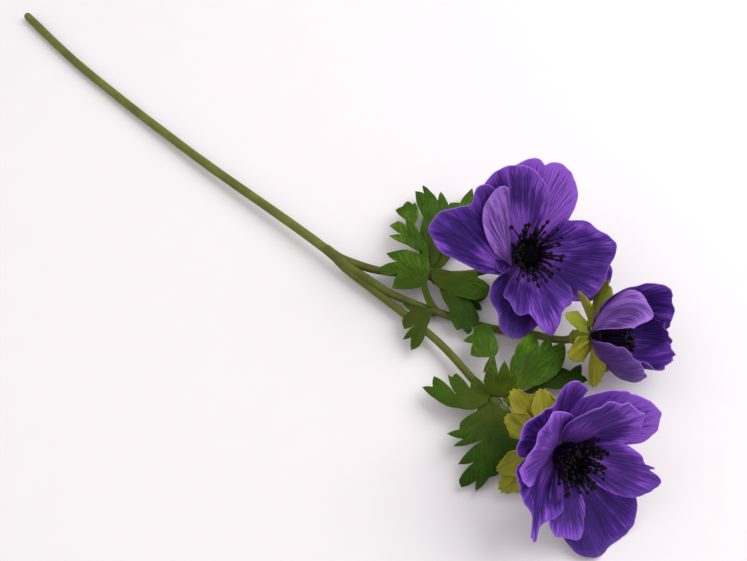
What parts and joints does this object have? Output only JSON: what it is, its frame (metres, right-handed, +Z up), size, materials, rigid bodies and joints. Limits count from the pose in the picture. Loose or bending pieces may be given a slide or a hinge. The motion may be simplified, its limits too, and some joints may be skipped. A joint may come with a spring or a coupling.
{
  "type": "anemone flower spray",
  "caption": "Spray of violet anemones lying on its side: a straight stem forking into branches that carry open and half-open blooms, bract ruffs and cut leaves.",
  "frame": {"origin": "middle of the spray's footprint, on the surface that it lies on", "axes": "+X along the main stem from its cut end towards the flowers, +Y to the left of that seen from above, +Z up from the surface"},
  "size_m": [0.4786, 0.1422, 0.0701],
  "materials": {
    "stem": "matte moulded stem, olive green with a faint grain along it",
    "leaf": "pressed leaf cloth, satin, mid green with a yellow-green base and fine veins",
    "bract": "pressed leaf cloth, yellow-olive with green teeth",
    "petal": "soft matte petal cloth, deep violet with darker fan veins and paler rims",
    "stamen": "satin, black-violet",
    "centre": "granular, almost black"
  },
  "bodies": {
    "root": {"fork": "stem", "leaf_fan_hanging": "leaf", "leaf_fan_tall": "leaf", "leaf_ring_back": "leaf", "leaf_ring_bright": "leaf", "leaf_ring_dark": "leaf", "leaf_ring_hanging": "leaf", "leaf_ring_tall": "leaf", "leaf_whorl_back": "leaf", "leaf_whorl_dark": "leaf", "leaf_whorl_down": "leaf", "leaf_whorl_left": "leaf", "leaf_whorl_right": "leaf", "leaf_whorl_up": "leaf", "leaf_whorl_upright": "leaf", "lower_bracts": "bract", "lower_branch": "stem", "lower_calyx": "stem", "lower_centre": "centre", "lower_collar": "stem", "lower_petal_far_right": "petal", "lower_petal_high_left": "petal", "lower_petal_inner_left": "petal", "lower_petal_inner_low": "petal", "lower_petal_inner_top": "petal", "lower_petal_low": "petal", "lower_petal_low_left": "petal", "lower_petal_right": "petal", "lower_stamens": "stamen", "main_stem": "stem", "small_bracts": "bract", "small_branch": "stem", "small_calyx": "stem", "small_centre": "centre", "small_collar": "stem", "small_petal_back": "petal", "small_petal_back_low": "petal", "small_petal_front": "petal", "small_petal_low": "petal", "small_petal_top": "petal", "small_stamens": "stamen", "upper_bracts": "bract", "upper_branch": "stem", "upper_calyx": "stem", "upper_centre": "centre", "upper_collar": "stem", "upper_petal_bottom": "petal", "upper_petal_left": "petal", "upper_petal_low_left": "petal", "upper_petal_low_right": "petal", "upper_petal_right": "petal", "upper_petal_top": "petal", "upper_petal_top_right": "petal", "upper_stamens": "stamen"}
  },
  "joints": []
}
